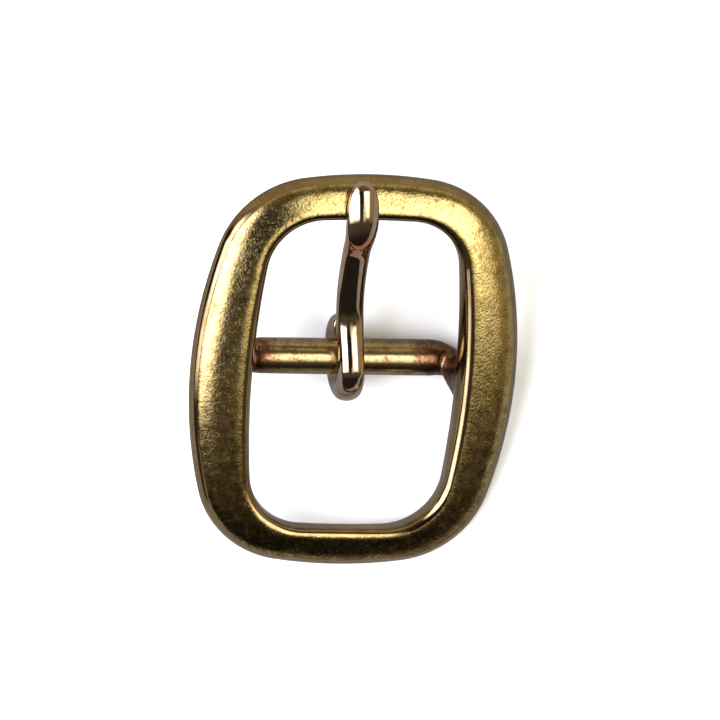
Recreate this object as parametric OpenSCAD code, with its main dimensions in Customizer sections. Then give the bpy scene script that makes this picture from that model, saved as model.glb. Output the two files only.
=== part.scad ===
// Centre-bar halter buckle: one cast frame with a dropped strap bar, and a bent prong that hinges on the bar.
// Left to itself it lies on a table on the prong's loop, one end of the bar and one corner of the frame,
// so both pieces are modelled in the buckle's own plane and then laid down by one shared tilt.
// The origin is the middle of the strap bar, which is also on the prong's hinge axis.

/* [Frame outline] */
// Width of the opening, for a 25 mm strap
opening_w = 25.2; // [23:0.1:28]
// Length of the opening
opening_l = 39.3; // [37:0.1:42]
// Width of a side rail at its middle
side_rail_w = 7.5; // [6:0.05:9]
// Width of an end rail at its middle
end_rail_w = 5.2; // [4.6:0.05:6.5]
// Bow radius of the outer long sides
outer_side_r = 55; // [50:1:90]
// Bow radius of the outer ends
outer_end_r = 54; // [50:1:90]
// Corner radius of the outer outline
outer_corner_r = 12.2; // [10:0.1:14]
// Bow radius of the opening's long sides
inner_side_r = 124; // [90:1:200]
// Bow radius of the opening's ends
inner_end_r = 126; // [90:1:200]
// Radius of the opening's upper corners, beside the prong's tip
inner_corner_r = 6.7; // [5:0.1:8]
// Radius of the opening's lower corners
inner_low_corner_r = 7.2; // [5:0.1:8]

/* [Frame section] */
// Height of the domed crown of an end rail above the flat back
crown_h = 3.05; // [2.9:0.05:4]
// How much thicker the wide side rails are than the end rails, as a share
side_swell = 0.22; // [0:0.01:0.3]
// Where the crown lies across the rail, from the inner edge to the outer one
crown_at = 0.05; // [0.03:0.01:0.4]

/* [Strap bar] */
// Diameter of the round bar
bar_d = 4.4; // [3.8:0.1:4.6]
// Length of the bar's full round part
bar_l = 22.8; // [20:0.1:23.5]
// How far the bar's axis lies below the frame's flat back
bar_drop = 4.4; // [3.2:0.1:4.6]

/* [Prong] */
// Radius of the prong's round wire where it wraps the bar
wire_r = 1.65; // [1.4:0.05:1.7]
// Radial running gap between the bar and the loop
hinge_gap = 0.06; // [0.04:0.01:0.1]
// Where the loop's tail ends, in degrees up from the direction of the tip
tail_end_a = -13; // [-60:1:-10]
// How far the loose prong slews sideways on its bar, in degrees
prong_slew = 4; // [0:0.5:5]
// Gap between the prong and its seat in the top rail
seat_gap = 0.15; // [0.1:0.05:0.3]

/* [Rest on a table] */
// Lean of the frame's plane towards its lower end
rest_pitch = 15.5; // [0:0.1:20]
// Lean of the frame's plane towards its right side
rest_roll = 16.8; // [0:0.1:20]

/* [Hidden] */

// Columns of an outline, of the rail section table, and of the lofted sections along a path
HALF_W = 0;
HALF_L = 1;
SIDE_R = 2;
END_R = 3;
CORNER_R = 4;
LOW_CORNER_R = 5;
SHARE = 0;
OFFSET = 1;
HEIGHT = 2;
RUN = 0;
RISE = 1;
WIDE = 2;
THICK = 3;
SHIFT = 4;

outer_outline = [opening_w / 2 + side_rail_w, opening_l / 2 + end_rail_w,
                 outer_side_r, outer_end_r, outer_corner_r, outer_corner_r];
inner_outline = [opening_w / 2, opening_l / 2,
                 inner_side_r, inner_end_r, inner_corner_r, inner_low_corner_r];

// Shares of a quarter turn given to the bowed side, the corner and the bowed end, and the sections in all
side_share = 0.3;
corner_share = 0.45;
end_share = 0.25;
frame_sections = 80;

// Rounded edges of the rail: inset from the edge and height above the flat back.
// The share column is 0 at the inner edge of the rail and 1 at the outer edge.
inner_edge = [
    [0, 0.5, 0],
    [0, 0.1, 0.35],
    [0, 0, 0.8],
    [0, 0.04, 1.4],
    [0, 0.2, 2],
    [0, 0.5, 2.5],
    [0, 0.85, 2.83],
    [0, 1.2, 3]
];
outer_edge = [
    [1, -0.7, 1.55],
    [1, -0.4, 1.22],
    [1, -0.15, 0.84],
    [1, 0, 0.45],
    [1, -0.08, 0.18],
    [1, -0.35, 0]
];
// Shares of the rail's face where its section has a point: closer together on the round outer shoulder
face_shares = [0.05, 0.2, 0.45, 0.66, 0.8, 0.9, 0.96];
// How sharply the crown bends, how much of the face's fall is even, and the power of the shoulder's curve
crown_bend = 0.15;
even_fall = 0.6;
shoulder_power = 6;
inner_rim = inner_edge[len(inner_edge) - 1];
outer_rim = outer_edge[0];

bar_r = bar_d / 2;
loop_r = bar_r + hinge_gap + wire_r;
// Where the loop's ring ends at the stem, in degrees up from the direction of the tip
stem_leaves_a = 82;
// How much smaller one round end is where it lies inside another
skin = 0.02;
// Steps round the bar and the loop, and round the wire itself
turn_steps = 48;
wire_steps = 32;

// Sections of the stem from the loop to the tip: run along the prong and height above the bar's axis,
// half width and half thickness, and shift to the right
stem_sections = [
    [0, loop_r, wire_r - 3 * skin, wire_r - 3 * skin, 0],
    [2.2, 3.5, 1.62, 1.58, -0.03],
    [4, 3.15, 1.64, 1.55, -0.07],
    [5.6, 3.05, 1.66, 1.52, -0.1],
    [7.2, 3.2, 1.66, 1.5, -0.15],
    [9.4, 3.85, 1.68, 1.5, -0.22],
    [11.7, 4.6, 1.68, 1.5, -0.19],
    [14, 5.4, 1.68, 1.48, -0.08],
    [15.6, 6, 1.7, 1.44, 0.03],
    [16.8, 6.7, 1.76, 1.46, 0.13],
    [17.8, 7.35, 1.85, 1.5, 0.18],
    [19, 7.78, 1.95, 1.52, 0.25],
    [20.4, 7.95, 1.97, 1.5, 0.31],
    [22.25, 7.9, 1.9, 1.4, 0.33],
    [23.75, 7.83, 1.5, 1.1, 0.33],
    [24.55, 7.77, 0.95, 0.72, 0.3],
    [24.9, 7.74, 0.3, 0.25, 0.28]
];
stem_steps = 3;
stem_sides = 18;

// Sections of a lug from the bar's end up to the side rail: distance from the middle and height above
// the bar's axis, half width along the rail, half thickness, and shift towards the lower end rail
lug_sections = [
    [bar_l / 2 - 0.9, 0, bar_r - skin, bar_r - skin, 0],
    [bar_l / 2 + 0.3, 0.1, 2.05, 2, 0.05],
    [bar_l / 2 + 1.3, 0.75, 1.9, 1.65, 0.3],
    [bar_l / 2 + 1.9, 1.8, 2.3, 1.5, 0.9],
    [bar_l / 2 + 2.3, 3, 2.9, 1.45, 1.15],
    [bar_l / 2 + 2.5, 3.95, 3.7, 1.45, 0.85],
    [bar_l / 2 + 2.6, 4.9, 4.4, 1.45, 0.4],
    [bar_l / 2 + 2.6, 5.6, 4.6, 1.1, 0.2]
];
lug_steps = 2;
lug_sides = 20;

// A point on an arc
function on_arc(centre, r, a) = centre + r * [cos(a), sin(a)];

// The corner arc of radius r that touches a bowed side and a bowed end from inside: its centre, and the
// angles where it takes over from the side and gives way to the end
function corner_of(o, r) =
    let (
        side_c = [o[HALF_W] - o[SIDE_R], 0],
        end_c = [0, o[HALF_L] - o[END_R]],
        span = norm(end_c - side_c),
        dir = (end_c - side_c) / span,
        r_side = o[SIDE_R] - r,
        r_end = o[END_R] - r,
        along = (r_side * r_side - r_end * r_end + span * span) / (2 * span),
        off = sqrt(r_side * r_side - along * along),
        c = side_c + along * dir + off * [-dir[1], dir[0]]
    )
    [c, atan2(c[1] - side_c[1], c[0] - side_c[0]), atan2(c[1] - end_c[1], c[0] - end_c[0])];

// A point of the first quarter of an outline, at share f of the way from the side's middle to the end's
function quarter_point(o, r, f) =
    let (c = corner_of(o, r), f_corner = f - side_share, f_end = f_corner - corner_share)
    f_corner <= 0 ? on_arc([o[HALF_W] - o[SIDE_R], 0], o[SIDE_R], c[1] * f / side_share)
    : f_end <= 0 ? on_arc(c[0], r, c[1] + (c[2] - c[1]) * f_corner / corner_share)
    : on_arc([0, o[HALF_L] - o[END_R]], o[END_R], c[2] + (90 - c[2]) * f_end / end_share);

// A point of the whole outline at turn t from 0 to 4, one for each quarter
function outline_point(o, t) =
    let (
        q = floor(t),
        backwards = q % 2 == 1,
        r = q >= 2 ? o[LOW_CORNER_R] : o[CORNER_R],
        p = quarter_point(o, r, backwards ? 1 - (t - q) : t - q)
    )
    [q == 1 || q == 2 ? -p[0] : p[0], q >= 2 ? -p[1] : p[1]];

// How far the face has fallen at share v of the way from the crown to the outer rim, as a share of its whole
// fall: an even slope past the crown's bend, and a round shoulder near the rim
function fall(v) =
    even_fall * (sqrt(v * v + crown_bend * crown_bend) - crown_bend) / (sqrt(1 + crown_bend * crown_bend) - crown_bend)
    + (1 - even_fall) * pow(v, shoulder_power);

// Height of the face at share u between the two rims
function face_height(u) =
    u < crown_at
        ? crown_h - (crown_h - inner_rim[HEIGHT]) * pow((crown_at - u) / crown_at, 2)
        : crown_h - (crown_h - outer_rim[HEIGHT]) * fall((u - crown_at) / (1 - crown_at));

// The rail's section, from its back inner edge over the crown to its back outer edge
rail_section = concat(
    inner_edge,
    [for (u = face_shares)
        [u, inner_rim[OFFSET] * (1 - u) + outer_rim[OFFSET] * u, face_height(u)]],
    outer_edge
);

// The rail's section set across the frame at turn t, thicker where the rail is wider
function frame_ring(t) =
    let (
        inner = outline_point(inner_outline, t),
        outer = outline_point(outer_outline, t),
        w = norm(outer - inner),
        across = (outer - inner) / w,
        wider = min(1, max(0, (w - end_rail_w) / (side_rail_w - end_rail_w))),
        swell = 1 + side_swell * wider
    )
    [for (s = rail_section)
        let (p = inner + across * (s[SHARE] * w + s[OFFSET]))
        [p[0], p[1], bar_drop + s[HEIGHT] * swell]];

// One value of a smooth curve through four neighbouring rows, at share f between the middle two
function smooth(a, b, c, d, f) =
    b + 0.5 * f * (c - a + f * (2 * a - 5 * b + 4 * c - d + f * (3 * (b - c) + d - a)));

// A section table with steps rows for each of its own
function refine(rows, steps) =
    let (last = len(rows) - 1)
    concat(
        [for (i = [0 : last - 1], k = [0 : steps - 1])
            smooth(rows[max(i - 1, 0)], rows[i], rows[i + 1], rows[min(i + 2, last)], k / steps)],
        [rows[last]]
    );

// The direction of a path of rows at row i, in the plane of run and rise
function heading(rows, i) =
    let (
        a = rows[max(i - 1, 0)],
        b = rows[min(i + 1, len(rows) - 1)],
        d = [b[RUN] - a[RUN], b[RISE] - a[RISE]]
    )
    d / norm(d);

// Oval rings square to a path in the plane of Y and Z, grown by margin and shifted sideways where rows say so
function oval_rings(rows, sides, margin) =
    [for (i = [0 : len(rows) - 1])
        let (h = heading(rows, i), r = rows[i])
        [for (k = [0 : sides - 1])
            let (
                a = -360 * k / sides,
                side = (r[WIDE] + margin) * cos(a) + (is_undef(r[SHIFT]) ? 0 : r[SHIFT]),
                up = (r[THICK] + margin) * sin(a)
            )
            [side, r[RUN] - up * h[1], r[RISE] + up * h[0]]]];

// A skin over rings of equal count: joined end to start if it is a closed hoop, capped if it isn't
module loft(rings, hoop) {
    n = len(rings);
    m = len(rings[0]);
    spans = hoop ? n : n - 1;
    walls = [for (i = [0 : spans - 1], j = [0 : m - 1], half = [0, 1])
        let (
            a = i * m + j,
            b = i * m + (j + 1) % m,
            c = ((i + 1) % n) * m + (j + 1) % m,
            d = ((i + 1) % n) * m + j
        )
        half == 0 ? [a, c, b] : [a, d, c]];
    caps = hoop ? [] : [
        [for (j = [0 : m - 1]) j],
        [for (j = [m - 1 : -1 : 0]) (n - 1) * m + j]
    ];
    polyhedron([for (r = rings, p = r) p], concat(walls, caps), convexity = 6);
}

// Lays the buckle down as it comes to rest on a table
module laid_down() {
    rotate([rest_pitch, rest_roll, 0])
        children();
}

// Turns the prong about the upright so that it slews towards the left rail
module slewed() {
    rotate([0, 0, prong_slew])
        children();
}

module stem(margin) {
    loft(oval_rings(refine(stem_sections, stem_steps), stem_sides, margin), false);
}

module rail_hoop() {
    loft([for (i = [0 : frame_sections - 1]) frame_ring(4 * i / frame_sections)], true);
}

// The raised end of the bar, seen along the rail and set to the right side
module lug() {
    rotate([0, 0, -90])
        loft(oval_rings(refine(lug_sections, lug_steps), lug_sides, 0), false);
}

module strap_bar() {
    rotate([0, 90, 0])
        cylinder(h = bar_l, r = bar_r, center = true, $fn = turn_steps);
}

// The loop round the bar: a ring of round wire from the stem, round the bar to the tail's rounded end
module loop() {
    turn = 360 + tail_end_a - stem_leaves_a;
    rotate([90, 0, 90]) {
        rotate([0, 0, stem_leaves_a])
            rotate_extrude(angle = turn, $fn = turn_steps)
                translate([loop_r, 0])
                    circle(r = wire_r, $fn = wire_steps);
        rotate([0, 0, tail_end_a])
            translate([loop_r, 0, 0])
                sphere(r = wire_r - skin, $fn = wire_steps);
    }
}

module frame() {
    color("darkgoldenrod")
        laid_down() {
            difference() {
                rail_hoop();
                slewed()
                    stem(seat_gap);
            }
            strap_bar();
            lug();
            mirror([1, 0, 0])
                lug();
        }
}

module prong() {
    color("saddlebrown")
        laid_down()
            slewed() {
                loop();
                stem(0);
            }
}

frame();
prong();
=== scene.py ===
"""Looks of a centre-bar halter buckle: a cast frame with a sandblasted face and polished edges,
and a bent prong.

Shapes are worked out in millimetres in the buckle's own plane: X along the strap bar, Y towards
the prong's tip, Z up through the domed face, origin in the middle of the bar. Then they are laid
down as the buckle rests and put in metres.
"""

import bpy
import numpy as np
from mathutils import Matrix, Vector


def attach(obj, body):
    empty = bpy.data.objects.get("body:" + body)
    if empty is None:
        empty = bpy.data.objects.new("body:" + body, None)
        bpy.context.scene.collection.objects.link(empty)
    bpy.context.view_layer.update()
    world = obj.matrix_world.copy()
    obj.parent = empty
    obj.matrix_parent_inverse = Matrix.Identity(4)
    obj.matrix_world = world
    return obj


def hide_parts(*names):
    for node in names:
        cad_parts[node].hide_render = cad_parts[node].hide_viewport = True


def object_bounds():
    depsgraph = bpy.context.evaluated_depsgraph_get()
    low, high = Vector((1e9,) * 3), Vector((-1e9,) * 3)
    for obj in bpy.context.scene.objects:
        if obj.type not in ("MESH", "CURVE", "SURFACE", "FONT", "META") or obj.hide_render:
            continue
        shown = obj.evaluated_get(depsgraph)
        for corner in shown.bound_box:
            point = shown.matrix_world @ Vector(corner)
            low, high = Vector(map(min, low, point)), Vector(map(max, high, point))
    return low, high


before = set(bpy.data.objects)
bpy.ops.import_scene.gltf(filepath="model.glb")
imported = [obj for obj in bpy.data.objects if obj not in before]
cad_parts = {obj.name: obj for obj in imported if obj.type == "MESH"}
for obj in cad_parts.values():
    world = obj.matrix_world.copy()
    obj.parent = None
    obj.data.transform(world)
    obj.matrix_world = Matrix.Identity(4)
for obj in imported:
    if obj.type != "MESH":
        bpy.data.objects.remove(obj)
cad_low, cad_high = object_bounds()

MM = 0.001

# How the buckle leans as it lies on a table, and how far the loose prong slews on its bar, in
# degrees
REST_PITCH = 15.5
REST_ROLL = 16.8
PRONG_SLEW = 4.0

# Outlines: half width, half length, bow radius of the sides, bow radius of the ends, radius of the
# upper and of the lower corners
OPENING = (12.6, 19.65, 124.0, 126.0, 6.7, 7.2)
OUTSIDE = (20.1, 24.85, 55.0, 54.0, 12.2, 12.2)
# Shares of a quarter's points on its side, its corner and its end
SIDE_SHARE, CORNER_SHARE, END_SHARE = 0.3, 0.45, 0.25
# Width of the side rails and of the end rails
SIDE_RAIL, END_RAIL = 7.5, 5.2

# The face: height of its crown, place of the crown as a share of the width, share that a side rail
# is higher by, and how gently the face bends over the crown
CROWN, CROWN_AT, SIDE_SWELL, CROWN_BEND = 3.05, 0.067, 0.22, 0.15
# Share of the face's fall that is an even slope, and power of the rest, on an end rail and on a
# side rail
END_FACE, SIDE_FACE = (0.80, 8.0), (0.60, 6.0)
# The strap bar: radius, length of its straight part, and how far its axis is behind the flat back
BAR_R, BAR_L, BAR_DROP = 2.2, 22.8, 4.4
# The prong: radius of its wire, running gap on the bar, angle at which the loop ends, and gap
# between the prong and its seat
WIRE_R, HINGE_GAP, TAIL_END, SEAT_GAP = 1.65, 0.06, -11.5, 0.15
LOOP_R = BAR_R + HINGE_GAP + WIRE_R


def turned(axis, degrees):
    """The 3 by 3 matrix of a right-handed turn about one axis."""
    return np.array(Matrix.Rotation(np.radians(degrees), 3, axis))


LAID_DOWN = turned("Y", REST_ROLL) @ turned("X", REST_PITCH)
SLEWED = turned("Z", PRONG_SLEW)


# Curves

def smooth_rows(rows, steps):
    """A smooth curve through the rows of a table.

    Between rows b and c, with neighbours a and d, the curve at share f is the cubic
    b + f/2 (c - a + f (2a - 5b + 4c - d + f (3 (b - c) + d - a))), which meets b and c and leaves
    them along the chords of their neighbours.
    """
    rows = np.asarray(rows, float)
    last = len(rows) - 1
    i = np.repeat(np.arange(last), steps)
    f = np.tile(np.arange(steps) / steps, last)[:, None]
    a, b, c, d = (rows[np.clip(i + k, 0, last)] for k in (-1, 0, 1, 2))
    cubic = b + f / 2 * (c - a + f * (2 * a - 5 * b + 4 * c - d + f * (3 * (b - c) + d - a)))
    return np.vstack([cubic, rows[last:]])


def smooth_step(low, high, x):
    """0 below low, 1 above high, and the cubic 3s^2 - 2s^3 between them."""
    s = np.clip((x - low) / (high - low), 0, 1)
    return s * s * (3 - 2 * s)


def soft_least(a, b, reach):
    """The smaller of a and b, with the corner between them rounded over reach."""
    h = np.clip(0.5 + 0.5 * (b - a) / reach, 0, 1)
    return b + (a - b) * h - reach * h * (1 - h)


def on_arc(centre, radius, angle):
    """Points of an arc: centre plus radius times cosine and sine of the angle."""
    return np.stack([centre[0] + radius * np.cos(angle), centre[1] + radius * np.sin(angle)], -1)


def quarter_outline(sizes, corner_r, f):
    """Points of a quarter of a rounded oblong at shares f: 0 is its side's middle, 1 is its end's.

    The quarter is three arcs in a row that share their tangents: the bowed side, the corner and the
    bowed end. The corner's centre is as far from the side's centre and from the end's centre as
    their radii less its own.
    """
    half_w, half_l, side_r, end_r = sizes[:4]
    side_c, end_c = np.array([half_w - side_r, 0]), np.array([0, half_l - end_r])
    span = np.linalg.norm(end_c - side_c)
    along_dir = (end_c - side_c) / span
    r_side, r_end = side_r - corner_r, end_r - corner_r
    along = (r_side**2 - r_end**2 + span**2) / (2 * span)
    off = np.sqrt(r_side**2 - along**2)
    centre = side_c + along * along_dir + off * np.array([-along_dir[1], along_dir[0]])
    a_side = np.arctan2(*(centre - side_c)[::-1])
    a_end = np.arctan2(*(centre - end_c)[::-1])
    f_corner, f_end = f - SIDE_SHARE, f - SIDE_SHARE - CORNER_SHARE
    side = on_arc(side_c, side_r, a_side * f / SIDE_SHARE)
    corner = on_arc(centre, corner_r, a_side + (a_end - a_side) * f_corner / CORNER_SHARE)
    end = on_arc(end_c, end_r, a_end + (np.pi / 2 - a_end) * f_end / END_SHARE)
    return np.where((f_corner <= 0)[:, None], side, np.where((f_end <= 0)[:, None], corner, end))


def outline(sizes, turn):
    """Points of a rounded oblong at turns from 0 to 4, one for each quarter. Odd quarters run
    backwards, and the signs of x and y follow the quarter."""
    quarter = np.floor(turn).astype(int) % 4
    f = turn - np.floor(turn)
    f = np.where(quarter % 2 == 1, 1 - f, f)
    left, low = (quarter == 1) | (quarter == 2), quarter >= 2
    upper_r, lower_r = sizes[4:]
    upper, lower = quarter_outline(sizes, upper_r, f), quarter_outline(sizes, lower_r, f)
    p = np.where(low[:, None], lower, upper)
    return p * np.stack([np.where(left, -1, 1), np.where(low, -1, 1)], -1)


# Meshes

def grid_faces(rings, sides, around):
    """Four-cornered faces between neighbouring points of a grid whose every ring is closed. Where
    around is true, the last ring is joined to the first too."""
    rows = np.arange(rings if around else rings - 1)
    ring, side = np.meshgrid(rows, np.arange(sides), indexing="ij")
    here, there = ring * sides, (ring + 1) % rings * sides
    beside = (side + 1) % sides
    corners = [here + side, there + side, there + beside, here + beside]
    return np.stack(corners, -1).reshape(-1, 4)


def carried(rings, sides):
    """Faces and the two closing polygons of a section that is carried along an open path."""
    ring = np.arange(sides)
    return grid_faces(rings, sides, False), (ring, (rings - 1) * sides + ring[::-1])


def around_section(sides):
    """Angles of the points round a section."""
    return np.linspace(0, 2 * np.pi, sides, endpoint=False)[None, :]


def put_in_mesh(name, points, faces, caps=(), **marks):
    """A smooth-shaded object made of whole arrays: points in millimetres of the buckle's plane,
    faces as point numbers, caps as closing polygons, and marks as one number a point each."""
    placed = points.reshape(-1, 3) @ LAID_DOWN.T * MM
    mesh = bpy.data.meshes.new(name)
    mesh.from_pydata(placed, [], faces.tolist() + [list(map(int, c)) for c in caps])
    mesh.polygons.foreach_set("use_smooth", np.ones(len(mesh.polygons), bool))
    for mark, values in marks.items():
        layer = mesh.attributes.new(mark, "FLOAT", "POINT")
        layer.data.foreach_set("value", np.asarray(values, np.float32).ravel())
    mesh.update()
    piece = bpy.data.objects.new(name, mesh)
    bpy.context.scene.collection.objects.link(piece)
    return piece


# Prong

# Centre line and section of the stem: run, height above the bar's axis, half width, half thickness,
# height of the pressed front above the centre line, and shift to the right
STEM = [
    (0.0, LOOP_R, 1.65, 1.65, 1.50, 0.0),
    (2.2, 3.50, 1.62, 1.58, 1.42, -0.03),
    (4.0, 3.15, 1.64, 1.55, 1.38, -0.07),
    (5.6, 3.05, 1.66, 1.52, 1.35, -0.10),
    (7.2, 3.20, 1.66, 1.50, 1.34, -0.15),
    (9.4, 3.85, 1.68, 1.50, 1.34, -0.22),
    (11.7, 4.60, 1.68, 1.50, 1.34, -0.19),
    (14.0, 5.40, 1.68, 1.48, 1.36, -0.08),
    (15.6, 6.00, 1.70, 1.44, 1.44, 0.03),
    (16.8, 6.70, 1.76, 1.46, 1.54, 0.13),
    (17.8, 7.35, 1.85, 1.50, 1.50, 0.18),
    (19.0, 7.77, 1.95, 1.55, 1.44, 0.25),
    (20.4, 7.95, 1.97, 1.54, 1.40, 0.31),
    (22.25, 7.90, 1.90, 1.42, 1.30, 0.33),
    (23.75, 7.83, 1.50, 1.12, 1.05, 0.33),
    (24.55, 7.77, 0.95, 0.72, 0.70, 0.30),
    (24.88, 7.74, 0.38, 0.30, 0.60, 0.28),
]
# The loop: height of its pressed front, angle of its last row before the stem, and number of rows
LOOP_FRONT, LOOP_LAST, LOOP_ROWS = 1.50, 106, 16
# The pressed front's radius across the wire, and how far its corners are rounded
FRONT_R, FRONT_ROUND = 1.95, 0.10
# The cut tail: how far it bulges as a share of the wire's radius, the power by which it thins, and
# the angles of the rows that close it
TAIL_BULGE, TAIL_POWER, TAIL_ANGLES = 0.75, 0.6, np.arange(80, -1, -10.0)
# The painted reddish reflection on the neck below the tip: its middle and its reach along the run,
# and the heights between which it fades in
NECK_AT, NECK_REACH, NECK_LOW, NECK_HIGH = 16.6, 1.5, 4, 6
# Sections from one row of the tables to the next, and points round each section
PATH_STEPS, PRONG_SIDES = 14, 72


def prong_rows():
    """Rows of the whole prong from the tail's end, round the bar and up the stem to the tip.

    The loop's points lie on a circle about the bar, the stem's in its table, and one smooth curve
    runs through them all.
    """
    angle = np.radians(np.linspace(360 + TAIL_END, LOOP_LAST, LOOP_ROWS))
    round_bar = np.stack([LOOP_R * np.cos(angle), LOOP_R * np.sin(angle)] +
                         [np.full(angle.shape, v) for v in (WIRE_R, WIRE_R, LOOP_FRONT, 0.0)], -1)
    return smooth_rows(np.vstack([round_bar, STEM]), PATH_STEPS)


def stem_table():
    """The stem's own rows, for the seat that is cut for it in the frame."""
    return smooth_rows(STEM, PATH_STEPS)


def across_path(rows):
    """Unit vectors along a path in the plane of run and height, and across it to its upper side."""
    ahead = np.gradient(rows[:, :2], axis=0)
    ahead /= np.linalg.norm(ahead, axis=1)[:, None]
    return ahead, np.stack([-ahead[:, 1], ahead[:, 0]], -1)


def make_prong():
    """A wire carried along the prong's path. Its section is an oval of half width w and half
    thickness h, whose front is pressed down to the shallow arch f - x^2 / 2R. The cut tail is
    closed by rows that shrink as a flattened quarter circle."""
    rows = prong_rows()
    ahead, up = across_path(rows)
    phi = np.radians(TAIL_ANGLES)
    tail = np.repeat(rows[:1], len(phi), 0)
    tail[:, :2] -= ahead[0] * (TAIL_BULGE * np.sin(phi) * WIRE_R)[:, None]
    tail[:, 2:4] *= np.cos(phi)[:, None] ** TAIL_POWER
    rows = np.vstack([tail, rows[1:]])
    up = np.vstack([np.repeat(up[:1], len(phi), 0), up[1:]])
    a = around_section(PRONG_SIDES)
    run, rise, wide, thick, front, shift = (rows[:, k, None] for k in range(6))
    x = wide * np.cos(a)
    z = soft_least(thick * np.sin(a), front - x * x / (2 * FRONT_R), FRONT_ROUND)
    points = np.stack([x + shift, run + z * up[:, 0, None], rise + z * up[:, 1, None]], -1)
    # Where the reddish reflection is painted: near the neck and above its lower height
    near_neck = np.exp(-(((points[..., 1] - NECK_AT) / NECK_REACH) ** 2))
    warm = near_neck * smooth_step(NECK_LOW, NECK_HIGH, points[..., 2])
    return put_in_mesh("bent_prong", points @ SLEWED.T, *carried(len(rows), PRONG_SIDES), warm=warm)


# Frame ring

# Edges of the rail: share of the width, inset, height above the flat back. The inner edge of an end
# rail is a wall with a tight round, that of a side rail leans.
END_INNER = [
    (0, 0.55, 0.0), (0, 0.28, 0.08), (0, 0.1, 0.32), (0, 0.0, 0.8), (0, 0.0, 1.5), (0, 0.0, 2.1),
    (0, 0.03, 2.43), (0, 0.1, 2.63), (0, 0.29, 2.82), (0, 0.53, 2.95), (0, 0.75, 3.02),
]
SIDE_INNER = [
    (0, 0.55, 0.0), (0, 0.28, 0.08), (0, 0.1, 0.32), (0, 0.0, 0.8), (0, 0.03, 1.3), (0, 0.14, 1.8),
    (0, 0.33, 2.25), (0, 0.52, 2.56), (0, 0.72, 2.8), (0, 1.0, 2.955), (0, 1.35, 3.02),
]
OUTER_EDGE = [
    (1, -0.78, 1.64), (1, -0.66, 1.52), (1, -0.4, 1.24), (1, -0.16, 0.86), (1, -0.02, 0.48),
    (1, -0.07, 0.2), (1, -0.22, 0.05), (1, -0.42, 0.0),
]
# How far above the edges' own last heights the face starts and ends
ABOVE_INNER, ABOVE_OUTER = 0.005, 0.04
# Points over the face, between two rows of an edge's table and along the back, and number of
# sections round the ring
FACE_STEPS, EDGE_STEPS, BACK_STEPS, RING_STEPS = 40, 4, 6, 680

# The seat for the prong: its middle and spread in turns, how much closer the rows are packed there,
# and number of fine steps in which the turns are first counted
SEAT_TURN, SEAT_SPREAD, SEAT_PACKING, FINE_STEPS = 1.07, 0.11, 5.0, 8000
# The run from which the seat is cut, the rounding of its brim, how much of the rail over the flat
# back stays whole, and the depths of the cut between which it turns polished
SEAT_FROM, SEAT_ROUND, BACK_KEPT, SEAT_POLISH = 15, 0.12, 1.0, (0.05, 0.2)
# The least cosine of the stem's slope in the seat, and a height above everything for where nothing
# is cut
LEAST_COSINE, UNCUT = 0.4, 99.0
# Darkening of the face: the share of dark specks at its top, how much more at its lower end, which
# is painted shade that fades the highlights there, and between which runs it grows
TOP_SPECKLE_SHARE, LOWER_PAINTED_SHADE, LOWER_PAINTED_SHADE_RUN = 0.30, 0.4, (-2, -20)


def rail_section(inner_edge, face_fall):
    """Rows of the rail's section from its back inner edge over the face and round the outer edge
    along the flat back: share of the width, inset and height. A second array holds their polish.

    From its crown the face falls to the outer rim by the share e (sqrt(v^2 + b^2) - b) /
    (sqrt(1 + b^2) - b) + (1 - e) v^p: an even slope past the crown's bend b, then a round shoulder.
    Inwards it is one parabola.
    """
    even_share, power = face_fall
    inner, outer = smooth_rows(inner_edge, EDGE_STEPS), smooth_rows(OUTER_EDGE, EDGE_STEPS)
    u = (np.arange(FACE_STEPS) + 1) / (FACE_STEPS + 1)
    low_in, low_out = inner_edge[-1][2] + ABOVE_INNER, OUTER_EDGE[0][2] + ABOVE_OUTER
    v = np.clip((u - CROWN_AT) / (1 - CROWN_AT), 0, 1)
    even = (np.hypot(v, CROWN_BEND) - CROWN_BEND) / (np.hypot(1, CROWN_BEND) - CROWN_BEND)
    fall = even_share * even + (1 - even_share) * v**power
    height = np.where(u < CROWN_AT, CROWN - (CROWN - low_in) * ((CROWN_AT - u) / CROWN_AT) ** 2,
                      CROWN - (CROWN - low_out) * fall)
    face = np.stack([u, inner_edge[-1][1] * (1 - u) + OUTER_EDGE[0][1] * u, height], -1)
    b = (np.arange(BACK_STEPS) + 1)[:, None] / (BACK_STEPS + 1)
    back = outer[-1] * (1 - b) + inner[0] * b
    polish = np.repeat([1.0, 0.0, 1.0], [len(inner), FACE_STEPS, len(outer) + BACK_STEPS])
    return np.vstack([inner, face, outer, back]), polish


def ring_turns():
    """Turns round the ring, packed closer where the top rail is cut for the prong: the places where
    the running sum of a density with a bump there passes equal steps."""
    fine = np.linspace(0, 4, FINE_STEPS + 1)
    density = 1 + SEAT_PACKING * np.exp(-(((fine - SEAT_TURN) / SEAT_SPREAD) ** 2))
    total = np.concatenate([[0], np.cumsum((density[1:] + density[:-1]) / 2)])
    return np.interp(np.arange(RING_STEPS) / RING_STEPS * total[-1], total, fine)


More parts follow.
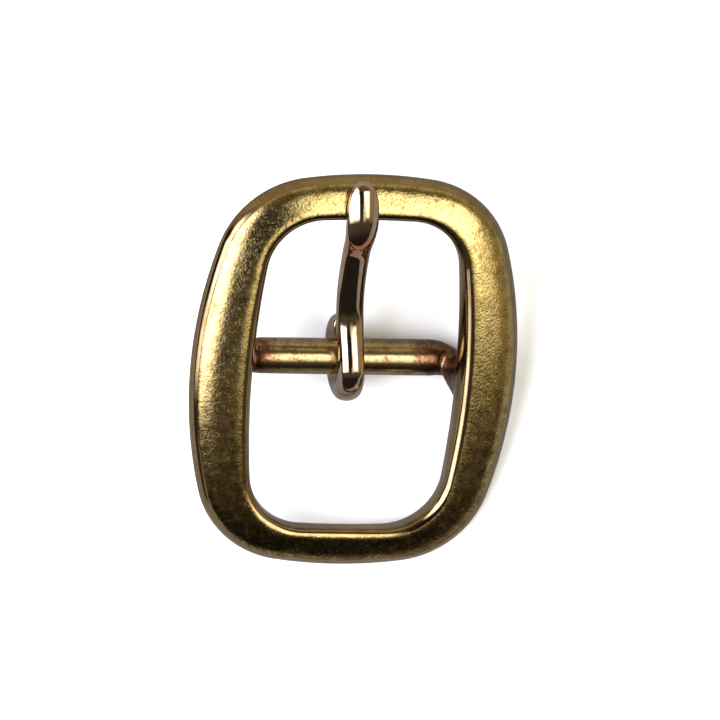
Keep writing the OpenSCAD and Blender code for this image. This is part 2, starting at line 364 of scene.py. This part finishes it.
def cut_seat(points):
    """Lowers the ring's points to the underside of the prong plus its gap. Across the prong the
    underside is an oval, h sqrt(1 - (x/w)^2) below the centre line, and over its slope it stands
    off by one over the cosine. Gives the points and a mark from 0 to 1 for each: 1 in the seat."""
    q = points @ SLEWED
    rows = stem_table()
    ahead, _ = across_path(rows)
    columns = (rows[:, 1], rows[:, 2], rows[:, 3], rows[:, 5], ahead[:, 0])
    rise, wide, thick, shift, cosine = (np.interp(q[..., 1], rows[:, 0], v) for v in columns)
    share = np.abs(q[..., 0] - shift) / (wide + SEAT_GAP)
    stand_off = (thick + SEAT_GAP) / np.maximum(cosine, LEAST_COSINE)
    under = rise - stand_off * np.sqrt(np.clip(1 - share**2, 0, 1))
    under = np.where((share < 1) & (q[..., 1] > SEAT_FROM), under, UNCUT)
    top = points[..., 2]
    cut = np.where(share < 1, soft_least(top, under, SEAT_ROUND), top)
    depth = top - cut
    points[..., 2] = np.where(top > BAR_DROP + BACK_KEPT, cut, top)
    return points, smooth_step(*SEAT_POLISH, depth)


def make_ring():
    """The closed rail: its section is set across the frame at every turn, between the two outlines,
    and is thicker where the rail is wider."""
    end_section, polish = rail_section(END_INNER, END_FACE)
    side_section, _ = rail_section(SIDE_INNER, SIDE_FACE)
    turn = ring_turns()
    inner, outer = outline(OPENING, turn), outline(OUTSIDE, turn)
    across = outer - inner
    width = np.linalg.norm(across, axis=1)
    across /= width[:, None]
    wider = np.clip((width - END_RAIL) / (SIDE_RAIL - END_RAIL), 0, 1)[:, None, None]
    section = end_section * (1 - wider) + side_section * wider
    reach = section[..., 0] * width[:, None] + section[..., 1]
    flat = inner[:, None, :] + across[:, None, :] * reach[..., None]
    height = BAR_DROP + section[..., 2] * (1 + SIDE_SWELL * wider[..., 0])
    points = np.concatenate([flat, height[..., None]], -1)
    points, seat = cut_seat(points)
    marks = np.maximum(np.broadcast_to(polish, seat.shape), seat)
    # Dark specks, plus painted shade that darkens the face towards the lower end rail
    age = TOP_SPECKLE_SHARE + LOWER_PAINTED_SHADE * smooth_step(*LOWER_PAINTED_SHADE_RUN, points[..., 1])
    faces = grid_faces(len(turn), len(polish), True)[:, ::-1]
    return put_in_mesh("cast_ring", points, faces, polish=marks, age=age)


# Bar and lugs

# A lug from the bar's end up to the rail: distance from the middle, height, half width along the
# rail, half thickness, and shift towards the lower end rail
LUG = [
    (BAR_L / 2 - 0.9, 0.0, BAR_R, BAR_R, 0.0),
    (BAR_L / 2 + 0.3, 0.1, 2.05, 2.0, 0.05),
    (BAR_L / 2 + 1.3, 0.75, 1.9, 1.65, 0.3),
    (BAR_L / 2 + 1.9, 1.8, 2.3, 1.5, 0.9),
    (BAR_L / 2 + 2.3, 3.0, 2.9, 1.45, 1.15),
    (BAR_L / 2 + 2.5, 3.95, 3.7, 1.45, 0.85),
    (BAR_L / 2 + 2.6, 4.9, 4.4, 1.45, 0.4),
    (BAR_L / 2 + 2.6, 5.6, 4.6, 1.1, 0.2),
]
# Points round each section, sections from lug to lug, and sections from one row of the table to
# the next
BAR_SIDES, BAR_ROWS, LUG_STEPS = 64, 42, 8
# Stain of the metal: in the bar's middle, how much more at its ends, and between which distances
# from the middle it grows
STAIN, STAIN_MORE, STAIN_REACH = 0.25, 0.65, (7.5, 11.0)


def make_bar():
    """The round bar and its two raised ends as one skin: an oval carried from the left rail down,
    along the bar and up to the right rail, widened and shifted as the table says."""
    lug = smooth_rows(LUG, LUG_STEPS)
    other = lug[::-1] * [-1, 1, 1, 1, 1]
    along = np.linspace(other[-1, 0], lug[0, 0], BAR_ROWS)[1:-1]
    straight = np.stack([along] + [np.full(along.shape, v) for v in (0.0, BAR_R, BAR_R, 0.0)], -1)
    rows = np.vstack([other, straight, lug])
    _, up = across_path(rows)
    a = around_section(BAR_SIDES)
    out, rise, wide, thick, shift = (rows[:, k, None] for k in range(5))
    side, z = wide * np.cos(a) + shift, thick * np.sin(a)
    points = np.stack([out + z * up[:, 0, None], -side, rise + z * up[:, 1, None]], -1)
    stain = STAIN + STAIN_MORE * smooth_step(*STAIN_REACH, np.abs(points[..., 0]))
    return put_in_mesh("strap_bar", points, *carried(len(rows), BAR_SIDES), stain=stain)


# Materials

# Colours of the sandblasted face, of the polished edges and of the bar, each clean and darkened,
# and of the prong, clean, darkened and the painted reddish reflection at its neck
FACE_BRASS, FACE_DARK = (0.37, 0.28, 0.11), (0.13, 0.08, 0.03)
EDGE_BRASS, EDGE_DARK = (0.26, 0.19, 0.10), (0.15, 0.09, 0.035)
BAR_BRASS, BAR_DARK = (0.34, 0.26, 0.125), (0.13, 0.055, 0.03)
PRONG_BRONZE, PRONG_DARK, PRONG_NECK_REFLECTION = (0.40, 0.31, 0.21), (0.28, 0.19, 0.12), (0.40, 0.18, 0.10)
# Level that the speckle's noise of mean one half has to pass for the metal to be dark: where the
# share is 0, and how much lower where it is 1
SPECKLE_LEVEL, SPECKLE_DROP = 0.65, 0.3
# Roughness of the face between its pits and in them, and of the polished edges, of the bar and of
# the prong, each clean and darkened
FACE_ROUGH, EDGE_ROUGH, BAR_ROUGH, PRONG_ROUGH = (0.12, 0.30), 0.09, (0.18, 0.28), (0.05, 0.10)


def new_material(name, **constants):
    """A node material with its shader's constant values. Gives it, its node tree and its shader."""
    made = bpy.data.materials.new(name)
    made.use_nodes = True
    shader = made.node_tree.nodes["Principled BSDF"]
    shader.location = (600, 0)
    for socket, value in constants.items():
        shader.inputs[socket.replace("_", " ")].default_value = value
    return made, made.node_tree, shader


def add(tree, kind, at, values=None, **settings):
    """A node of a tree at a place, with its settings and its inputs' values by name or number."""
    made = tree.nodes.new(kind)
    made.location = at
    for key, value in settings.items():
        setattr(made, key, value)
    for key, value in (values or {}).items():
        made.inputs[key].default_value = value
    return made


def sum_of(tree, operation, a, b, at):
    """A Math node of two inputs, each a socket or a number. Gives its output."""
    made = add(tree, "ShaderNodeMath", at, operation=operation)
    for slot, value in enumerate((a, b)):
        if isinstance(value, (int, float)):
            made.inputs[slot].default_value = value
        else:
            tree.links.new(value, made.inputs[slot])
    return made.outputs[0]


def ramped(tree, value, low, high, at, to_low=0.0, to_high=1.0):
    """A smooth change from to_low to to_high as a value goes from low to high. Gives its output."""
    levels = {"From Min": low, "From Max": high, "To Min": to_low, "To Max": to_high}
    made = add(tree, "ShaderNodeMapRange", at, levels, interpolation_type="SMOOTHSTEP")
    tree.links.new(value, made.inputs["Value"])
    return made.outputs["Result"]


def mixed(tree, share, a, b, at):
    """A mix of two colours by a share, each a socket or a colour. Gives its output."""
    made = add(tree, "ShaderNodeMix", at, data_type="RGBA")
    tree.links.new(share, made.inputs["Factor"])
    for socket, colour in ((made.inputs[6], a), (made.inputs[7], b)):
        if isinstance(colour, tuple):
            socket.default_value = (*colour, 1)
        else:
            tree.links.new(colour, socket)
    return made.outputs[2]


def new_group(name, inputs, outputs):
    """A shader node group with number inputs and their usual values, and number outputs."""
    tree = bpy.data.node_groups.new(name, "ShaderNodeTree")
    kind = "NodeSocketFloat"
    for label, value in inputs.items():
        socket = tree.interface.new_socket(name=label, in_out="INPUT", socket_type=kind)
        socket.default_value = value
    for label in outputs:
        tree.interface.new_socket(name=label, in_out="OUTPUT", socket_type=kind)
    return tree, add(tree, "NodeGroupInput", (-900, 0)), add(tree, "NodeGroupOutput", (900, 0))


def speckle_group():
    """Uneven darkening of old metal: soft blotches and small specks of two sizes in millimetres,
    cut off at a level that lets through a share of the surface, and a fine grain for relief."""
    usual = {"Blotch size": 2.0, "Speck size": 0.4, "Share": 0.5, "Contrast": 0.2}
    tree, given, put = new_group("speckle", usual, ("Dark", "Grain"))
    here = add(tree, "ShaderNodeTexCoord", (-900, 300)).outputs["Object"]
    noise = []
    for row, (size, detail) in enumerate((("Blotch size", 3.0), ("Speck size", 4.0))):
        scale = sum_of(tree, "DIVIDE", 1 / MM, given.outputs[size], (-650, 300 - 250 * row))
        values = {"Detail": detail, "Roughness": 0.6}
        made = add(tree, "ShaderNodeTexNoise", (-430, 300 - 250 * row), values)
        tree.links.new(here, made.inputs["Vector"])
        tree.links.new(scale, made.inputs["Scale"])
        noise.append(made.outputs["Fac"])
    blend = sum_of(tree, "ADD", sum_of(tree, "MULTIPLY", noise[0], 0.5, (-200, 300)),
                   sum_of(tree, "MULTIPLY", noise[1], 0.5, (-200, 100)), (0, 200))
    level = sum_of(tree, "MULTIPLY_ADD", given.outputs["Share"], -SPECKLE_DROP, (-200, -150))
    level.node.inputs[2].default_value = SPECKLE_LEVEL
    low = sum_of(tree, "SUBTRACT", level, given.outputs["Contrast"], (0, -100))
    high = sum_of(tree, "ADD", level, given.outputs["Contrast"], (0, -260))
    rise = add(tree, "ShaderNodeMapRange", (300, 100), interpolation_type="SMOOTHSTEP")
    for socket, name in ((blend, "Value"), (low, "From Min"), (high, "From Max")):
        tree.links.new(socket, rise.inputs[name])
    tree.links.new(rise.outputs["Result"], put.inputs["Dark"])
    tree.links.new(noise[1], put.inputs["Grain"])
    return tree


def use_group(tree, group, at, **values):
    """A group node in a material, with its own values."""
    made = add(tree, "ShaderNodeGroup", at, node_tree=group)
    for name, value in values.items():
        made.inputs[name.replace("_", " ")].default_value = value
    return made


def mark(tree, name, at):
    """A number that the piece's mesh carries at its points."""
    return add(tree, "ShaderNodeAttribute", at, attribute_name=name).outputs["Fac"]


def relief(tree, shader, height, at, depth, strength):
    """Fine relief on the shader's normal, its depth in millimetres."""
    bump = add(tree, "ShaderNodeBump", at, {"Strength": strength, "Distance": depth * MM})
    tree.links.new(height, bump.inputs["Height"])
    tree.links.new(bump.outputs["Normal"], shader.inputs["Normal"])


def frame_brass(speckle):
    """Antique brass: a sandblasted face with darkened specks and painted shade towards its lower
    end, between edges polished again.
    """
    made, tree, shader = new_material("antique_brass", Metallic=1.0)
    polish, age = mark(tree, "polish", (-900, 400)), mark(tree, "age", (-900, 200))
    darkening = use_group(tree, speckle, (-650, 0), Blotch_size=1.3, Speck_size=0.3, Contrast=0.14)
    # Painted shade: the share of dark specks rises towards the face's lower end
    tree.links.new(age, darkening.inputs["Share"])
    face = mixed(tree, darkening.outputs["Dark"], FACE_BRASS, FACE_DARK, (-350, 100))
    clean = use_group(tree, speckle, (-650, -300), Blotch_size=3.0, Speck_size=0.25, Share=0.35,
                      Contrast=0.2)
    edge = mixed(tree, clean.outputs["Dark"], EDGE_BRASS, EDGE_DARK, (-350, -200))
    tree.links.new(mixed(tree, polish, face, edge, (-100, 100)), shader.inputs["Base Color"])
    # Blasted pits are matt and catch the light from wide around, between smoother metal
    pits = use_group(tree, speckle, (-650, -600), Blotch_size=0.6, Speck_size=0.22, Share=0.30,
                     Contrast=0.12)
    rough_face = ramped(tree, pits.outputs["Dark"], 0.0, 1.0, (-350, -450), *FACE_ROUGH)
    rough = add(tree, "ShaderNodeMix", (-100, -300), {"B": EDGE_ROUGH}, data_type="FLOAT")
    tree.links.new(polish, rough.inputs["Factor"])
    tree.links.new(rough_face, rough.inputs["A"])
    tree.links.new(rough.outputs["Result"], shader.inputs["Roughness"])
    matt = sum_of(tree, "SUBTRACT", 1.0, polish, (-100, -550))
    grain = sum_of(tree, "MULTIPLY", darkening.outputs["Grain"], matt, (100, -450))
    relief(tree, shader, grain, (300, -400), depth=0.038, strength=0.66)
    return made


def bar_brass(speckle):
    """Satin brass with reddish stains towards the bar's ends, where the mark "stain" is high."""
    made, tree, shader = new_material("satin_brass", Metallic=1.0)
    stain = mark(tree, "stain", (-900, 300))
    darkening = use_group(tree, speckle, (-650, 0), Blotch_size=1.6, Speck_size=0.35, Contrast=0.14)
    tree.links.new(stain, darkening.inputs["Share"])
    tree.links.new(mixed(tree, darkening.outputs["Dark"], BAR_BRASS, BAR_DARK, (-350, 100)),
                   shader.inputs["Base Color"])
    tree.links.new(ramped(tree, darkening.outputs["Dark"], 0.0, 1.0, (-350, -200), *BAR_ROUGH),
                   shader.inputs["Roughness"])
    relief(tree, shader, darkening.outputs["Grain"], (300, -300), depth=0.03, strength=0.4)
    return made


def prong_bronze(speckle):
    """Polished dark bronze, redder on its neck where the mesh's mark is high: a painted reflection.
    """
    made, tree, shader = new_material("dark_bronze", Metallic=1.0)
    warm = mark(tree, "warm", (-900, 300))
    darkening = use_group(tree, speckle, (-650, 0), Blotch_size=2.5, Speck_size=0.3, Share=0.4,
                    Contrast=0.2)
    plain = mixed(tree, darkening.outputs["Dark"], PRONG_BRONZE, PRONG_DARK, (-350, 100))
    # Painted reddish reflection mixed in at the neck
    tree.links.new(mixed(tree, warm, plain, PRONG_NECK_REFLECTION, (-100, 100)), shader.inputs["Base Color"])
    tree.links.new(ramped(tree, darkening.outputs["Dark"], 0.0, 1.0, (-350, -200), *PRONG_ROUGH),
                   shader.inputs["Roughness"])
    relief(tree, shader, darkening.outputs["Grain"], (300, -300), depth=0.015, strength=0.3)
    return made


# Pieces

ring, bar, prong = make_ring(), make_bar(), make_prong()
speckle = speckle_group()
for piece, metal, body, slot in ((ring, frame_brass(speckle), "frame", "antique_brass"),
                                 (bar, bar_brass(speckle), "frame", "antique_brass"),
                                 (prong, prong_bronze(speckle), "prong", "dark_bronze")):
    piece.data.materials.append(metal)
    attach(piece, body)
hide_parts("frame")
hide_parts("prong")

# Floor, light and camera

# The photograph's view: directions to the picture's right and top and towards the camera, in the
# buckle's own plane
VIEW = np.array([(0.9766, 0.0822, 0.1989), (-0.0131, 0.9452, -0.3262), (-0.2148, 0.3159, 0.9241)])
PICTURE_RIGHT, PICTURE_UP, TO_CAMERA = (Vector(v).normalized() for v in VIEW @ LAID_DOWN.T)

# The colours of the floor, even and blotched, as the camera sees it and as the metal mirrors it:
# pale to the camera, and much darker in the metal, a painted shade of the floor seen in reflections
SEEN_FLOOR, SEEN_FLOOR_BLOTCH = (0.91, 0.91, 0.905), (0.93, 0.93, 0.925)
MIRRORED_FLOOR_SHADE, MIRRORED_FLOOR_SHADE_BLOTCH = (0.26, 0.255, 0.24), (0.28, 0.275, 0.26)
bpy.ops.mesh.primitive_plane_add(size=4.0, location=(0, 0, cad_low.z))
floor = bpy.context.object
floor.name = "pale_floor"
floor_paint, floor_tree, floor_shader = new_material("pale_floor_paint", Roughness=0.8)
pale = add(floor_tree, "ShaderNodeTexNoise", (-500, 0), {"Scale": 40.0, "Detail": 2.0})
place = add(floor_tree, "ShaderNodeTexCoord", (-700, 0)).outputs["Object"]
floor_tree.links.new(place, pale.inputs["Vector"])
seen = mixed(floor_tree, pale.outputs["Fac"], SEEN_FLOOR, SEEN_FLOOR_BLOTCH, (-300, 100))
# Painted shade: the floor the metal mirrors is darker than the floor the camera sees
mirrored = mixed(floor_tree, pale.outputs["Fac"], MIRRORED_FLOOR_SHADE, MIRRORED_FLOOR_SHADE_BLOTCH, (-300, -150))
to_eye = add(floor_tree, "ShaderNodeLightPath", (-300, 400)).outputs["Is Camera Ray"]
floor_colour = mixed(floor_tree, to_eye, mirrored, seen, (-50, 0))
floor_tree.links.new(floor_colour, floor_shader.inputs["Base Color"])
floor.data.materials.append(floor_paint)

# Light of the studio by direction. Directions are put on a disc about the camera: the distance from
# its middle is the angle from the camera over 180 degrees. Each box of light is a soft-edged
# rectangle on that disc: left, right, bottom, top, softness, colour and strength. First come the
# four parts of the large lamp at the left, then the three of the smaller one at the right, then the
# dim warm walls.
BOXES = [
    (-0.35, -0.085, -0.188, -0.05, 0.025, (0.98, 1.00, 1.12), 8.0),
    (-0.46, -0.35, -0.15, -0.05, 0.03, (0.98, 1.00, 1.12), 5.0),
    (-0.42, -0.10, -0.05, 0.07, 0.03, (0.98, 1.00, 1.15), 8.0),
    (-0.35, -0.15, 0.07, 0.155, 0.03, (0.98, 1.00, 1.15), 8.0),
    (0.095, 0.29, -0.125, 0.045, 0.035, (1.00, 1.00, 0.97), 6.0),
    (0.055, 0.16, -0.20, -0.125, 0.03, (1.00, 0.97, 0.82), 2.0),
    (0.16, 0.29, -0.175, -0.125, 0.025, (1.00, 0.97, 0.82), 5.0),
    (0.29, 0.48, -0.20, 0.20, 0.05, (1.00, 0.80, 0.43), 0.62),
    (-0.13, 0.29, 0.045, 0.19, 0.04, (1.00, 0.74, 0.34), 0.20),
    (-0.45, 0.42, 0.19, 0.50, 0.05, (1.00, 0.88, 0.60), 0.85),
    (-0.45, 0.36, -0.32, -0.18, 0.06, (1.00, 0.84, 0.58), 0.13),
]
# Strength of the light from everywhere else
DIM = 0.035
# Limits that keep the arccosine and the division in range straight at the camera
MOST_COSINE, LEAST_ACROSS = 0.99999, 1e-4


def studio_light():
    """The world: dim everywhere, plus each box of light.

    A direction with the parts x, y and z to the picture's right, to its top and to the camera is
    put on the disc at (x, y) times arccos(z) over pi sqrt(x^2 + y^2).
    """
    world = bpy.data.worlds.new("studio")
    bpy.context.scene.world = world
    world.use_nodes = True
    tree = world.node_tree
    towards = add(tree, "ShaderNodeTexCoord", (-1900, 0)).outputs["Generated"]
    flat = []
    for row, axis in enumerate((PICTURE_RIGHT, PICTURE_UP, TO_CAMERA)):
        dot = add(tree, "ShaderNodeVectorMath", (-1700, -200 * row), {1: tuple(axis)},
                  operation="DOT_PRODUCT")
        tree.links.new(towards, dot.inputs[0])
        flat.append(dot.outputs["Value"])
    x, y, z = flat
    cosine = sum_of(tree, "MINIMUM", z, MOST_COSINE, (-1500, -400))
    angle = sum_of(tree, "ARCCOSINE", cosine, 0.0, (-1300, -400))
    squares = sum_of(tree, "ADD", sum_of(tree, "MULTIPLY", x, x, (-1500, 200)),
                     sum_of(tree, "MULTIPLY", y, y, (-1500, 0)), (-1300, 100))
    across = sum_of(tree, "SQRT", squares, 0.0, (-1100, 100))
    stretch = sum_of(tree, "DIVIDE", sum_of(tree, "DIVIDE", angle, np.pi, (-1100, -400)),
                     sum_of(tree, "MAXIMUM", across, LEAST_ACROSS, (-900, 100)), (-700, 0))
    px, py = (sum_of(tree, "MULTIPLY", part, stretch, at)
              for part, at in ((x, (-500, 200)), (y, (-500, 0))))
    total = add(tree, "ShaderNodeRGB", (-300, 400)).outputs[0]
    total.default_value = (DIM, DIM, DIM, 1)
    for row, (left, right, bottom, top, soft, colour, strength) in enumerate(BOXES):
        at = (-200, -500 * row)
        within = []
        for value, low, high in ((px, left, right), (py, bottom, top)):
            rise = ramped(tree, value, low - soft, low + soft, at)
            fall = ramped(tree, value, high - soft, high + soft, at, to_low=1.0, to_high=0.0)
            within.append(sum_of(tree, "MULTIPLY", rise, fall, at))
        lamp = tuple(part * strength for part in colour)
        shine = add(tree, "ShaderNodeVectorMath", (100, -500 * row), {0: lamp}, operation="SCALE")
        tree.links.new(sum_of(tree, "MULTIPLY", *within, at), shine.inputs["Scale"])
        more = add(tree, "ShaderNodeVectorMath", (300, -500 * row), operation="ADD")
        tree.links.new(total, more.inputs[0])
        tree.links.new(shine.outputs[0], more.inputs[1])
        total = more.outputs[0]
    tree.links.new(total, tree.nodes["Background"].inputs["Color"])
    tree.nodes["Background"].inputs["Strength"].default_value = 1.0


studio_light()

# The camera: the photograph's scale, the height over the bar's axis from which the distance is
# counted, the pixel of the bar's middle, and a long lens that shows no perspective
PIXELS_PER_MM, FACE_HEIGHT = 8.3, 5
ORIGIN_PIXEL = (344.9, 356.9)
PICTURE_SIDE = 720
LENS, SENSOR = 1500.0, 36.0
camera_data = bpy.data.cameras.new("camera")
camera_data.lens = LENS
camera_data.sensor_width = SENSOR
camera = bpy.data.objects.new("camera", camera_data)
bpy.context.scene.collection.objects.link(camera)
bpy.context.scene.camera = camera
off_x, off_y = (PICTURE_SIDE / 2 - pixel for pixel in ORIGIN_PIXEL)
aim = (PICTURE_RIGHT * off_x - PICTURE_UP * off_y) / PIXELS_PER_MM * MM
distance = PICTURE_SIDE / PIXELS_PER_MM * MM * LENS / SENSOR
turn_to = Matrix((PICTURE_RIGHT, PICTURE_UP, TO_CAMERA)).transposed().to_4x4()
camera.matrix_world = Matrix.Translation(aim + TO_CAMERA * (distance + FACE_HEIGHT * MM)) @ turn_to
camera_data.clip_start, camera_data.clip_end = 0.01, 20

bpy.context.scene.view_settings.view_transform = "Standard"
